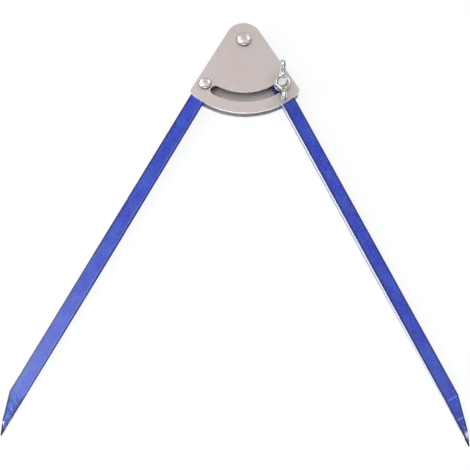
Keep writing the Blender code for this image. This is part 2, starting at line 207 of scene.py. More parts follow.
def blue_enamel_on_steel(leg):
    """Air-dried blue enamel on hot rolled flat bar: glossy and uneven on the face, matt on the sides, scuffed
    where the bar was hammered, and worn off the point. Its edges, sides, creases and point carry painted
    highlights and painted shade."""
    material, tree, place, normal = start_material("blue_enamel_on_" + leg["name"])
    along_bar = (0.0, 0.0, leg["side"] * leg["angle"])
    # Brush marks and scale under the paint, in patches a few millimetres long
    mottle_place = add_node(tree, 'ShaderNodeMapping', {"vector_type": 'TEXTURE'},
                            {"Vector": place, "Rotation": along_bar, "Scale": cell(1.9, 2.8, 1.9)})
    mottle = add_node(tree, 'ShaderNodeTexNoise', {},
                      {"Vector": mottle_place.outputs["Vector"], "Scale": 1.0, "Detail": 4.0, "Roughness": 0.7})
    mottle_share = add_node(tree, 'ShaderNodeMapRange', {"interpolation_type": 'SMOOTHSTEP'},
                            {"Value": mottle.outputs["Fac"], "From Min": 0.34, "From Max": 0.66})
    mottled = add_node(tree, 'ShaderNodeMix', {"data_type": 'RGBA'},
                       {0: mottle_share.outputs["Result"], 6: linear("#0A1C90"), 7: linear("#223CAE")})
    cloud_place = add_node(tree, 'ShaderNodeMapping', {"vector_type": 'TEXTURE'},
                           {"Vector": place, "Rotation": along_bar, "Scale": cell(11, 24, 11)})
    clouds = add_node(tree, 'ShaderNodeTexNoise', {},
                      {"Vector": cloud_place.outputs["Vector"], "Scale": 1.0, "Detail": 2.0, "Roughness": 0.5})
    cloud_share = add_node(tree, 'ShaderNodeMapRange', {"interpolation_type": 'SMOOTHSTEP'},
                           {"Value": clouds.outputs["Fac"], "From Min": 0.42, "From Max": 0.66, "To Max": 0.5})
    clouded = add_node(tree, 'ShaderNodeMix', {"data_type": 'RGBA'},
                       {0: cloud_share.outputs["Result"], 6: mottled.outputs[2], 7: linear("#2F4FA8")})
    # Dust specks in the paint, drawn 1 mm wide so that they show
    speck_place = add_node(tree, 'ShaderNodeMapping', {"vector_type": 'TEXTURE'},
                           {"Vector": place, "Rotation": along_bar, "Scale": cell(1.0, 1.3, 1.0)})
    specks = add_node(tree, 'ShaderNodeTexNoise', {},
                      {"Vector": speck_place.outputs["Vector"], "Scale": 1.0, "Detail": 2.0, "Roughness": 0.5})
    speck_share = add_node(tree, 'ShaderNodeMapRange', {"interpolation_type": 'SMOOTHSTEP'},
                           {"Value": specks.outputs["Fac"], "From Min": 0.60, "From Max": 0.74, "To Max": 0.6})
    painted = add_node(tree, 'ShaderNodeMix', {"data_type": 'RGBA'},
                       {0: speck_share.outputs["Result"], 6: clouded.outputs[2], 7: linear("#6880C4")})

    # Distances along the bar from the pivot, and across it from the pivot's middle line
    along = add_node(tree, 'ShaderNodeVectorMath', {"operation": 'DOT_PRODUCT'}, {0: place, 1: leg_along(leg)})
    across = add_node(tree, 'ShaderNodeVectorMath', {"operation": 'DOT_PRODUCT'}, {0: place, 1: leg_outward(leg)})
    sideways = add_node(tree, 'ShaderNodeVectorMath', {"operation": 'DOT_PRODUCT'}, {0: normal, 1: leg_outward(leg)})
    bar_edge = bar_inner_offset + bar_width

    # Scuffs across the hammered end, where the paint is thin: streaks about 2 mm wide and 7 mm long
    scuff_place = add_node(tree, 'ShaderNodeMapping', {"vector_type": 'TEXTURE'},
                           {"Vector": place, "Rotation": (0.0, 0.0, scuff_lean), "Scale": cell(1.8, 7, 4)})
    scuffs = add_node(tree, 'ShaderNodeTexNoise', {},
                      {"Vector": scuff_place.outputs["Vector"], "Scale": 1.0, "Detail": 3.0, "Roughness": 0.6,
                       "Distortion": 0.9})
    worn_from = leg["reach"] - leg["worn"]
    worn = add_node(tree, 'ShaderNodeMapRange', {"interpolation_type": 'SMOOTHSTEP'},
                    {"Value": along.outputs["Value"], "From Min": worn_from, "From Max": worn_from + 0.014,
                     "To Max": leg["worn_share"]})
    scuff_share = add_node(tree, 'ShaderNodeMapRange', {"interpolation_type": 'SMOOTHSTEP'},
                           {"Value": scuffs.outputs["Fac"], "From Min": 0.42, "From Max": 0.64})
    scuffed_share = add_node(tree, 'ShaderNodeMath', {"operation": 'MULTIPLY'},
                             {0: worn.outputs["Result"], 1: scuff_share.outputs["Result"]})
    painted = add_node(tree, 'ShaderNodeMix', {"data_type": 'RGBA'},
                       {0: scuffed_share.outputs[0], 6: painted.outputs[2], 7: linear("#5E7AAC")})
    # Pits where scale came off under the hammer
    pit_share = add_node(tree, 'ShaderNodeMapRange', {"interpolation_type": 'SMOOTHSTEP'},
                         {"Value": mottle.outputs["Fac"], "From Min": 0.41, "From Max": 0.48,
                          "To Min": 0.85, "To Max": 0.0})
    pitted_share = add_node(tree, 'ShaderNodeMath', {"operation": 'MULTIPLY'},
                            {0: worn.outputs["Result"], 1: pit_share.outputs["Result"]})
    painted = add_node(tree, 'ShaderNodeMix', {"data_type": 'RGBA'},
                       {0: pitted_share.outputs[0], 6: painted.outputs[2], 7: linear("#0A1454")})
    # Pale lines across the bar where the hammer left creases, about 1 mm wide: painted highlights along the creases,
    # broken up where the paint is cracked
    for from_tip, slant, width, strength in leg["creases"]:
        slanted = add_node(tree, 'ShaderNodeMath', {"operation": 'MULTIPLY_ADD'},
                           {0: across.outputs["Value"], 1: slant, 2: along.outputs["Value"]})
        away = add_node(tree, 'ShaderNodeMath', {"operation": 'SUBTRACT'},
                        {0: slanted.outputs[0], 1: leg["reach"] - from_tip + slant * bar_edge})
        away = add_node(tree, 'ShaderNodeMath', {"operation": 'ABSOLUTE'}, {0: away.outputs[0]})
        on_crease = add_node(tree, 'ShaderNodeMapRange', {"interpolation_type": 'SMOOTHSTEP'},
                             {"Value": away.outputs[0], "From Min": width / 4, "From Max": width,
                              "To Min": strength, "To Max": 0.0})
        cracked = add_node(tree, 'ShaderNodeMapRange', {"interpolation_type": 'SMOOTHSTEP'},
                           {"Value": specks.outputs["Fac"], "From Min": 0.30, "From Max": 0.55})
        crease_highlight_share = add_node(tree, 'ShaderNodeMath', {"operation": 'MULTIPLY'},
                                {0: on_crease.outputs["Result"], 1: cracked.outputs["Result"]})
        painted = add_node(tree, 'ShaderNodeMix', {"data_type": 'RGBA'},
                           {0: crease_highlight_share.outputs[0], 6: painted.outputs[2], 7: linear("#A9B8F0")})

    # A painted line along each edge of the face, the outer one following the ground taper: the outer edge is painted
    # dark as painted shade, and the inner edge is painted pale as a painted highlight on the fixed leg and dark as
    # painted shade on the swing leg
    taper_slope = (bar_width - point_width) / (leg["taper"] - point_length)
    taper_edge = add_node(tree, 'ShaderNodeMath', {"operation": 'MULTIPLY_ADD'},
                          {0: along.outputs["Value"], 1: -taper_slope,
                           2: bar_inner_offset + point_width + taper_slope * (leg["reach"] - point_length)})
    point_slope = (point_width - tip_width) / point_length
    point_edge = add_node(tree, 'ShaderNodeMath', {"operation": 'MULTIPLY_ADD'},
                          {0: along.outputs["Value"], 1: -point_slope,
                           2: bar_inner_offset + tip_width + point_slope * leg["reach"]})
    outer_edge = add_node(tree, 'ShaderNodeMath', {"operation": 'MINIMUM'}, {0: taper_edge.outputs[0], 1: bar_edge})
    outer_edge = add_node(tree, 'ShaderNodeMath', {"operation": 'MINIMUM'},
                          {0: outer_edge.outputs[0], 1: point_edge.outputs[0]})
    outer_gap = add_node(tree, 'ShaderNodeMath', {"operation": 'SUBTRACT'},
                         {0: outer_edge.outputs[0], 1: across.outputs["Value"]})
    outer_edge_shade = add_node(tree, 'ShaderNodeMapRange', {"interpolation_type": 'SMOOTHSTEP'},
                          {"Value": outer_gap.outputs[0], "From Min": outer_edge_shade_width / 2,
                           "From Max": outer_edge_shade_width, "To Min": 0.95, "To Max": 0.0})
    painted = add_node(tree, 'ShaderNodeMix', {"data_type": 'RGBA'},
                       {0: outer_edge_shade.outputs["Result"], 6: painted.outputs[2], 7: linear(leg["outer_edge_shade"])})
    inner_gap = add_node(tree, 'ShaderNodeMath', {"operation": 'SUBTRACT'},
                         {0: across.outputs["Value"], 1: bar_inner_offset})
    inner_edge_shading = add_node(tree, 'ShaderNodeMapRange', {"interpolation_type": 'SMOOTHSTEP'},
                          {"Value": inner_gap.outputs[0], "From Min": leg["inner_edge_shading_width"] / 2,
                           "From Max": leg["inner_edge_shading_width"], "To Min": leg["inner_edge_shading_share"], "To Max": 0.0})
    painted = add_node(tree, 'ShaderNodeMix', {"data_type": 'RGBA'},
                       {0: inner_edge_shading.outputs["Result"], 6: painted.outputs[2], 7: linear(leg["inner_edge_shading"])})
    # The sides are matt, and their colour is painted light: the fixed leg's inner side is painted dark as painted
    # shade and the swing leg's is painted pale as a painted highlight, both painted darker along their foot and
    # between the plates as painted shade
    outside = add_node(tree, 'ShaderNodeMapRange', {"interpolation_type": 'SMOOTHSTEP'},
                       {"Value": along.outputs["Value"], "From Min": 0.080, "From Max": 0.090})
    height = add_node(tree, 'ShaderNodeSeparateXYZ', {}, {"Vector": place})
    foot_shade = add_node(tree, 'ShaderNodeMapRange', {"interpolation_type": 'SMOOTHSTEP'},
                        {"Value": height.outputs["Z"], "From Min": leg_back + 0.0020, "From Max": leg_back + 0.0034,
                         "To Min": 0.9, "To Max": 0.0})
    side_light_and_foot_shade = add_node(tree, 'ShaderNodeMix', {"data_type": 'RGBA'},
                          {0: foot_shade.outputs["Result"], 6: linear(leg["inner_side_shading"]), 7: linear("#2C3058")})
    side_light_and_plate_shade = add_node(tree, 'ShaderNodeMix', {"data_type": 'RGBA'},
                      {0: outside.outputs["Result"], 6: linear("#0A1270"), 7: side_light_and_foot_shade.outputs[2]})
    inner_side_shading = add_node(tree, 'ShaderNodeMapRange', {"interpolation_type": 'SMOOTHSTEP'},
                          {"Value": sideways.outputs["Value"], "From Min": -0.9, "From Max": -0.5,
                           "To Min": 0.92, "To Max": 0.0})
    painted = add_node(tree, 'ShaderNodeMix', {"data_type": 'RGBA'},
                       {0: inner_side_shading.outputs["Result"], 6: painted.outputs[2], 7: side_light_and_plate_shade.outputs[2]})
    # The outer sides are painted dark as painted shade
    outer_side_shade = add_node(tree, 'ShaderNodeMapRange', {"interpolation_type": 'SMOOTHSTEP'},
                          {"Value": sideways.outputs["Value"], "From Min": 0.15, "From Max": 0.5, "To Max": 0.92})
    painted = add_node(tree, 'ShaderNodeMix', {"data_type": 'RGBA'},
                       {0: outer_side_shade.outputs["Result"], 6: painted.outputs[2], 7: linear(leg["outer_edge_shade"])})
    # Painted shade on the riveted leg between the plates, which is painted near black there
    between_plates_shade = add_node(tree, 'ShaderNodeMapRange', {"interpolation_type": 'SMOOTHSTEP'},
                      {"Value": along.outputs["Value"], "From Min": 0.074, "From Max": 0.080,
                       "To Min": leg["between_plates_shade_share"], "To Max": 0.0})
    painted = add_node(tree, 'ShaderNodeMix', {"data_type": 'RGBA'},
                       {0: between_plates_shade.outputs["Result"], 6: painted.outputs[2], 7: linear("#1A1618")})

    # The paint thins and stops raggedly before the ground tip, and its steel has gone brown and grey. The pale band
    # where it thins is thin paint and also a painted highlight, where a facet near the point catches the light
    ragged = add_node(tree, 'ShaderNodeMath', {"operation": 'MULTIPLY_ADD'},
                      {0: mottle.outputs["Fac"], 1: ragged_reach, 2: along.outputs["Value"]})
    level = add_node(tree, 'ShaderNodeMath', {"operation": 'SUBTRACT'},
                     {0: leg["reach"] + ragged_reach / 2, 1: ragged.outputs[0]})
    thin = add_node(tree, 'ShaderNodeMapRange', {"interpolation_type": 'SMOOTHSTEP'},
                    {"Value": level.outputs[0], "From Min": leg["thin"] - 0.0007, "From Max": leg["thin"] + 0.0007,
                     "To Min": 1.0, "To Max": 0.0})
    thick = add_node(tree, 'ShaderNodeMapRange', {"interpolation_type": 'SMOOTHSTEP'},
                     {"Value": level.outputs[0], "From Min": leg["thick"] - 0.0007, "From Max": leg["thick"] + 0.0007})
    thin_paint_and_highlight_share = add_node(tree, 'ShaderNodeMath', {"operation": 'MULTIPLY'},
                          {0: thin.outputs["Result"], 1: thick.outputs["Result"]})
    inwards = add_node(tree, 'ShaderNodeMapRange', {"interpolation_type": 'SMOOTHSTEP'},
                       {"Value": outer_gap.outputs[0], "From Min": 0.0016, "From Max": 0.0028,
                        "To Min": 0.9, "To Max": leg["thin_inside"]})
    thin_paint_and_highlight_share = add_node(tree, 'ShaderNodeMath', {"operation": 'MULTIPLY'},
                          {0: thin_paint_and_highlight_share.outputs[0], 1: inwards.outputs["Result"]})
    off_line = add_node(tree, 'ShaderNodeMath', {"operation": 'SUBTRACT'}, {0: 1.0, 1: inner_edge_shading.outputs["Result"]})
    thin_paint_and_highlight_share = add_node(tree, 'ShaderNodeMath', {"operation": 'MULTIPLY'},
                          {0: thin_paint_and_highlight_share.outputs[0], 1: off_line.outputs[0]})
    painted = add_node(tree, 'ShaderNodeMix', {"data_type": 'RGBA'},
                       {0: thin_paint_and_highlight_share.outputs[0], 6: painted.outputs[2], 7: linear("#C9CCF4")})
    bare = add_node(tree, 'ShaderNodeMapRange', {"interpolation_type": 'SMOOTHSTEP'},
                    {"Value": level.outputs[0], "From Min": leg["bare"] - 0.001, "From Max": leg["bare"] + 0.001,
                     "To Min": 1.0, "To Max": 0.0})
    stained, bright_tone = leg["steel"]
    steel = add_node(tree, 'ShaderNodeMix', {"data_type": 'RGBA'},
                     {0: mottle_share.outputs["Result"], 6: linear(stained), 7: linear(bright_tone)})
    coloured = add_node(tree, 'ShaderNodeMix', {"data_type": 'RGBA'},
                        {0: bare.outputs["Result"], 6: painted.outputs[2], 7: steel.outputs[2]})
    # Painted shade along the inner edge of the tapered end, down to the tip: a dark line
    tip_edge_shade = add_node(tree, 'ShaderNodeMapRange', {"interpolation_type": 'SMOOTHSTEP'},
                    {"Value": inner_gap.outputs[0], "From Min": tip_edge_shade_width / 2, "From Max": tip_edge_shade_width,
                     "To Min": 0.9, "To Max": 0.0})
    near_tip = add_node(tree, 'ShaderNodeMapRange', {"interpolation_type": 'SMOOTHSTEP'},
                        {"Value": along.outputs["Value"], "From Min": leg["reach"] - tip_edge_shade_length,
                         "From Max": leg["reach"] - tip_edge_shade_length + 0.006})
    off_side = add_node(tree, 'ShaderNodeMath', {"operation": 'SUBTRACT'}, {0: 1.0, 1: inner_side_shading.outputs["Result"]})
    tip_edge_shade_share = add_node(tree, 'ShaderNodeMath', {"operation": 'MULTIPLY'},
                          {0: tip_edge_shade.outputs["Result"], 1: near_tip.outputs["Result"]})
    tip_edge_shade_share = add_node(tree, 'ShaderNodeMath', {"operation": 'MULTIPLY'},
                          {0: tip_edge_shade_share.outputs[0], 1: off_side.outputs[0]})
    coloured = add_node(tree, 'ShaderNodeMix', {"data_type": 'RGBA'},
                        {0: tip_edge_shade_share.outputs[0], 6: coloured.outputs[2], 7: linear("#080C3C")})
    paint_roughness = add_node(tree, 'ShaderNodeMapRange', {"interpolation_type": 'SMOOTHSTEP'},
                               {"Value": mottle.outputs["Fac"], "From Min": 0.3, "From Max": 0.7,
                                "To Min": 0.26, "To Max": 0.40})
    roughness = add_node(tree, 'ShaderNodeMath', {"operation": 'MULTIPLY_ADD'},
                         {0: bare.outputs["Result"], 1: 0.12, 2: paint_roughness.outputs["Result"]})
    roughness = add_node(tree, 'ShaderNodeMath', {"operation": 'MULTIPLY_ADD'},
                         {0: worn.outputs["Result"], 1: 0.25, 2: roughness.outputs[0]})
    steepness = add_node(tree, 'ShaderNodeMath', {"operation": 'ABSOLUTE'}, {0: sideways.outputs["Value"]})
    matt = add_node(tree, 'ShaderNodeMapRange', {"interpolation_type": 'SMOOTHSTEP'},
                    {"Value": steepness.outputs[0], "From Min": 0.2, "From Max": 0.6, "To Max": 0.55})
    roughness = add_node(tree, 'ShaderNodeMath', {"operation": 'ADD'},
                         {0: roughness.outputs[0], 1: matt.outputs["Result"]})
    wavy = add_node(tree, 'ShaderNodeBump', {}, {"Height": clouds.outputs["Fac"], "Strength": 0.6, "Distance": 0.0004})
    brushed = add_node(tree, 'ShaderNodeBump', {}, {"Height": mottle.outputs["Fac"], "Strength": 0.5,
                                                    "Distance": 0.00018, "Normal": wavy.outputs["Normal"]})
    shader = add_node(tree, 'ShaderNodeBsdfPrincipled', {}, {
        "Base Color": coloured.outputs[2], "Metallic": bare.outputs["Result"],
        "Roughness": roughness.outputs[0], "IOR": 1.5, "Normal": brushed.outputs["Normal"]})
    add_node(tree, 'ShaderNodeOutputMaterial', {}, {"Surface": shader.outputs["BSDF"]})
    return material


def bright_steel_rivet():
    """Drawn steel rivet, peened and wiped bright: warm grey and smooth, with dull marks where it was struck."""
    material, tree, place, normal = start_material("bright_steel_rivet")
    mark_place = add_node(tree, 'ShaderNodeMapping', {"vector_type": 'TEXTURE'},
                          {"Vector": place, "Scale": cell(3, 3, 3)})
    marks = add_node(tree, 'ShaderNodeTexNoise', {},
                     {"Vector": mark_place.outputs["Vector"], "Scale": 1.0, "Detail": 3.0, "Roughness": 0.6})
    wiped = add_node(tree, 'ShaderNodeMix', {"data_type": 'RGBA'},
                     {0: marks.outputs["Fac"], 6: linear("#ADA4A1"), 7: linear("#CEC6C3")})
    # Painted shade in the corner under the head: the foot of the head is painted dark
    height = add_node(tree, 'ShaderNodeSeparateXYZ', {}, {"Vector": place})
    painted_contact_shade = add_node(tree, 'ShaderNodeMapRange', {"interpolation_type": 'SMOOTHSTEP'},
                     {"Value": height.outputs["Z"], "From Min": head_seat + 0.0003, "From Max": head_seat + 0.0010,
                      "To Min": 0.9, "To Max": 0.0})
    colour = add_node(tree, 'ShaderNodeMix', {"data_type": 'RGBA'},
                      {0: painted_contact_shade.outputs["Result"], 6: wiped.outputs[2], 7: linear("#2E2A28")})
    roughness = add_node(tree, 'ShaderNodeMapRange', {"interpolation_type": 'SMOOTHSTEP'},
                         {"Value": marks.outputs["Fac"], "From Min": 0.3, "From Max": 0.7,
                          "To Min": 0.22, "To Max": 0.36})
    grain_place = add_node(tree, 'ShaderNodeMapping', {"vector_type": 'TEXTURE'},
                           {"Vector": place, "Scale": cell(0.7, 0.7, 0.7)})
    grain = add_node(tree, 'ShaderNodeTexNoise', {},
                     {"Vector": grain_place.outputs["Vector"], "Scale": 1.0, "Detail": 2.0, "Roughness": 0.5})
    bump = add_node(tree, 'ShaderNodeBump', {}, {"Height": grain.outputs["Fac"], "Strength": 0.3, "Distance": 0.00006})
    shader = add_node(tree, 'ShaderNodeBsdfPrincipled', {}, {
        "Base Color": colour.outputs[2], "Metallic": 1.0, "Roughness": roughness.outputs["Result"],
        "Normal": bump.outputs["Normal"]})
    add_node(tree, 'ShaderNodeOutputMaterial', {}, {"Surface": shader.outputs["BSDF"]})
    return material


def zinc_plate(name, grain_mm, grain_depth, dull, bright, groove_shade_lines):
    """Bright zinc plating: cool greenish white, a little cloudy, duller in the grain of the metal under it,
    with painted shade in the grooves of a casting's wings."""
    material, tree, place, normal = start_material(name)
    cloud_place = add_node(tree, 'ShaderNodeMapping', {"vector_type": 'TEXTURE'},
                           {"Vector": place, "Scale": cell(5, 5, 5)})
    clouds = add_node(tree, 'ShaderNodeTexNoise', {},
                      {"Vector": cloud_place.outputs["Vector"], "Scale": 1.0, "Detail": 3.0, "Roughness": 0.5})
    cloud_share = add_node(tree, 'ShaderNodeMapRange', {"interpolation_type": 'SMOOTHSTEP'},
                           {"Value": clouds.outputs["Fac"], "From Min": 0.35, "From Max": 0.65})
    colour = add_node(tree, 'ShaderNodeMix', {"data_type": 'RGBA'},
                      {0: cloud_share.outputs["Result"], 6: linear(dull), 7: linear(bright)})
    where = add_node(tree, 'ShaderNodeSeparateXYZ', {}, {"Vector": place})
    # Painted shade in the grooves beside each wing's parting ridge
    for groove_x in groove_shade_lines:
        sideways = add_node(tree, 'ShaderNodeMath', {"operation": 'SUBTRACT'}, {0: where.outputs["X"], 1: groove_x})
        sideways = add_node(tree, 'ShaderNodeMath', {"operation": 'ABSOLUTE'}, {0: sideways.outputs[0]})
        in_groove = add_node(tree, 'ShaderNodeMapRange', {"interpolation_type": 'SMOOTHSTEP'},
                             {"Value": sideways.outputs[0], "From Min": groove_half_width / 2,
                              "From Max": groove_half_width, "To Min": 0.8, "To Max": 0.0})
        lengthways = add_node(tree, 'ShaderNodeMath', {"operation": 'SUBTRACT'}, {0: where.outputs["Y"], 1: nut_y})
        lengthways = add_node(tree, 'ShaderNodeMath', {"operation": 'ABSOLUTE'}, {0: lengthways.outputs[0]})
        on_wing = add_node(tree, 'ShaderNodeMapRange', {"interpolation_type": 'SMOOTHSTEP'},
                           {"Value": lengthways.outputs[0], "From Min": 0.009, "From Max": 0.011})
        groove_shade_share = add_node(tree, 'ShaderNodeMath', {"operation": 'MULTIPLY'},
                                {0: in_groove.outputs["Result"], 1: on_wing.outputs["Result"]})
        colour = add_node(tree, 'ShaderNodeMix', {"data_type": 'RGBA'},
                          {0: groove_shade_share.outputs[0], 6: colour.outputs[2], 7: linear("#565A60")})
    grain_place = add_node(tree, 'ShaderNodeMapping', {"vector_type": 'TEXTURE'},
                           {"Vector": place, "Scale": cell(grain_mm, grain_mm, grain_mm)})
    grain = add_node(tree, 'ShaderNodeTexNoise', {},
                     {"Vector": grain_place.outputs["Vector"], "Scale": 1.0, "Detail": 3.0, "Roughness": 0.55})
    roughness = add_node(tree, 'ShaderNodeMapRange', {"interpolation_type": 'SMOOTHSTEP'},
                         {"Value": grain.outputs["Fac"], "From Min": 0.3, "From Max": 0.7,
                          "To Min": 0.18, "To Max": 0.32})
    bump = add_node(tree, 'ShaderNodeBump', {}, {"Height": grain.outputs["Fac"], "Strength": 0.5,
                                                 "Distance": grain_depth})
    shader = add_node(tree, 'ShaderNodeBsdfPrincipled', {}, {
        "Base Color": colour.outputs[2], "Metallic": 1.0, "Roughness": roughness.outputs["Result"],
        "Normal": bump.outputs["Normal"]})
    add_node(tree, 'ShaderNodeOutputMaterial', {}, {"Surface": shader.outputs["BSDF"]})
    return material


def white_sweep():
    """Matt white paper. What the camera sees of it is mostly its own white and for the rest the light on it,
    so that it stays white and keeps a faint shadow. The metal mirrors less of that white."""
    material, tree, place, normal = start_material("white_sweep")
    tooth_place = add_node(tree, 'ShaderNodeMapping', {"vector_type": 'TEXTURE'},
                           {"Vector": place, "Scale": cell(8, 8, 8)})
    tooth = add_node(tree, 'ShaderNodeTexNoise', {},
                     {"Vector": tooth_place.outputs["Vector"], "Scale": 1.0, "Detail": 2.0, "Roughness": 0.5})
    colour = add_node(tree, 'ShaderNodeMix', {"data_type": 'RGBA'},
                      {0: tooth.outputs["Fac"], 6: linear("#FAFAFA"), 7: linear("#FCFCFC")})
    paper = add_node(tree, 'ShaderNodeBsdfPrincipled', {}, {
        "Base Color": colour.outputs[2], "Roughness": 0.9, "Specular IOR Level": 0.0})
    glow = add_node(tree, 'ShaderNodeEmission', {}, {"Color": linear("#FFFFFF"), "Strength": 1.0})
    path = add_node(tree, 'ShaderNodeLightPath')
    mirrored = add_node(tree, 'ShaderNodeMath', {"operation": 'MAXIMUM'},
                        {0: path.outputs["Is Glossy Ray"], 1: path.outputs["Is Transmission Ray"]})
    mirrored_share = add_node(tree, 'ShaderNodeMath', {"operation": 'MULTIPLY'}, {0: mirrored.outputs[0], 1: 0.3})
    share = add_node(tree, 'ShaderNodeMath', {"operation": 'MULTIPLY_ADD'},
                     {0: path.outputs["Is Camera Ray"], 1: 0.86, 2: mirrored_share.outputs[0]})
    surface = add_node(tree, 'ShaderNodeMixShader', {}, {0: share.outputs[0], 1: paper.outputs["BSDF"],
                                                         2: glow.outputs["Emission"]})
    add_node(tree, 'ShaderNodeOutputMaterial', {}, {"Surface": surface.outputs["Shader"]})
    return material


front_sheet = stainless_sheet("brushed_stainless_sheet", 1.0, "#B0A4A1", "#B7ABA8", 0.42, 0.50,
                              (((0.0, 0.0, 0.0175), 0.0084), ((-0.0459826, -0.0547526, 0.0175), 0.0070)))
rear_sheet = stainless_sheet("dusty_stainless_sheet", 0.7, "#AFA5A3", "#B6ACA9", 0.50, 0.58, ())
fixed_paint = blue_enamel_on_steel(fixed_leg)
swing_paint = blue_enamel_on_steel(swing_leg)
rivet_steel = bright_steel_rivet()
zinc_steel = zinc_plate("zinc_plated_stud", 1.0, 0.00003, "#C9CCC6", "#DFE0DB", ())
zinc_washer = zinc_plate("zinc_plated_washer", 1.0, 0.00001, "#949A9E", "#A8AEB2", ())
zinc_casting = zinc_plate("zinc_plated_casting", 0.8, 0.00002, "#B2B4B3", "#C8CAC8",
                          (nut_x - groove_offset, nut_x + groove_offset))


# Making pieces

def dress_node(node, material):
    """Gives a CAD node its finish."""
    node.data.materials.clear()
    node.data.materials.append(material)


def add_piece(name, mesh):
    piece = bpy.data.objects.new(name, mesh)
    bpy.context.scene.collection.objects.link(piece)
    return piece


def settle(piece):
    """Turns a piece's modifiers into its mesh."""
    graph = bpy.context.evaluated_depsgraph_get()
    graph.update()
    mesh = bpy.data.meshes.new_from_object(piece.evaluated_get(graph))
    piece.modifiers.clear()
    piece.data = mesh


def hand_over(piece, node, body, material, crisp_degrees=35.0):
    """Shades a finished piece and puts it in its node's place, on the node's body."""
    dress_node(piece, material)
    piece.data.shade_smooth()
    piece.data.set_sharp_from_angle(angle=math.radians(crisp_degrees))
    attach(piece, body)
    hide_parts(node)


def ease(value, low, high):
    """Rises smoothly from 0 to 1 between two values."""
    share = min(max((value - low) / (high - low), 0.0), 1.0)
    return share * share * (3 - 2 * share)


def turned_mesh(name, profile, centre, steps=96):
    """A closed solid turned about an upright axis from a profile that runs down its outer side."""
    mesh = bmesh.new()
    rings = []
    for radius, height in profile:
        if radius == 0:
            rings.append([mesh.verts.new((centre[0], centre[1], height))])
            continue
        rings.append([mesh.verts.new((centre[0] + radius * math.cos(2 * math.pi * k / steps),
                                      centre[1] + radius * math.sin(2 * math.pi * k / steps), height))
                      for k in range(steps)])
    for upper, lower in zip(rings, rings[1:]):
        for k in range(steps):
            n = (k + 1) % steps
            if len(upper) == 1:
                mesh.faces.new((upper[0], lower[k], lower[n]))
            elif len(lower) == 1:
                mesh.faces.new((upper[k], lower[0], upper[n]))
            else:
                mesh.faces.new((upper[k], lower[k], lower[n], upper[n]))
    data = bpy.data.meshes.new(name)
    mesh.to_mesh(data)
    mesh.free()
    return data


# Sector plates keep their solids

dress_node(nodes["front_sector_plate"], front_sheet)
dress_node(nodes["rear_sector_plate"], rear_sheet)


# Legs: the bar cut into stations, gently wavy as hot rolled bar is, and hammered towards its point

station_spacing = 0.004
free_bar_start = 0.100
bar_wave_height = 0.00010
bar_wave_length = 0.016
hammer_height = 0.00045
hammer_length = 0.0050
across_cuts = 6


def forge_leg(leg, body, paint):
    name, leg_reach, taper_length = leg["name"], leg["reach"], leg["taper"]
    along = Vector(leg_along(leg))
    across = Vector(leg_outward(leg))
    mesh = bmesh.new()
    mesh.from_mesh(nodes[name].data)
    places = [(along * (free_bar_start + station_spacing * k), along)
              for k in range(int((leg_reach - free_bar_start) / station_spacing))]
    places += [(across * (bar_inner_offset + bar_width * (k + 1) / (across_cuts + 1)), across)
               for k in range(across_cuts)]
    for place, direction in places:
        bmesh.ops.bisect_plane(mesh, geom=mesh.verts[:] + mesh.edges[:] + mesh.faces[:], dist=0.000002,
                               plane_co=place, plane_no=direction)
    mesh.normal_update()
    moves = []
    for vertex in mesh.verts:
        station = vertex.co.dot(along)
        free = ease(station, free_bar_start, free_bar_start + 0.03)
        if free == 0.0:
            continue
        struck = ease(station, leg_reach - taper_length - 0.008, leg_reach - taper_length + 0.010)
        struck *= 1 - 0.6 * ease(station, leg_reach - 0.012, leg_reach)
        wave = bar_wave_height * noise.noise(vertex.co / bar_wave_length)
        blow = hammer_height * struck * noise.noise(vertex.co / hammer_length)
        moves.append((vertex, vertex.normal * (free * (wave * (1 - struck) + blow))))
    for vertex, move in moves:
        vertex.co += move
    data = bpy.data.meshes.new(name + "_forged")
    mesh.to_mesh(data)
    mesh.free()
    hand_over(add_piece(name + "_forged", data), name, body, paint, 24.0)


forge_leg(fixed_leg, "frame_assembly", fixed_paint)
forge_leg(swing_leg, "swing_leg_assembly", swing_paint)


# Rivets: full round heads, with the flats that the hammer left on heads and tails

head_roundness = 2.4
head_side_height = 0.0009
tail_height = 0.0016
tail_edge_round = 0.0014
head_rings = 16

# Blows on a head: bearing and lean from upright in degrees, and depth as a share of the head's height
head_blows = ((20, 24, 0.05), (95, 38, 0.06), (150, 20, 0.045), (205, 44, 0.06), (262, 30, 0.05), (318, 42, 0.06),
              (60, 60, 0.05), (128, 62, 0.05), (240, 64, 0.05), (345, 62, 0.05))


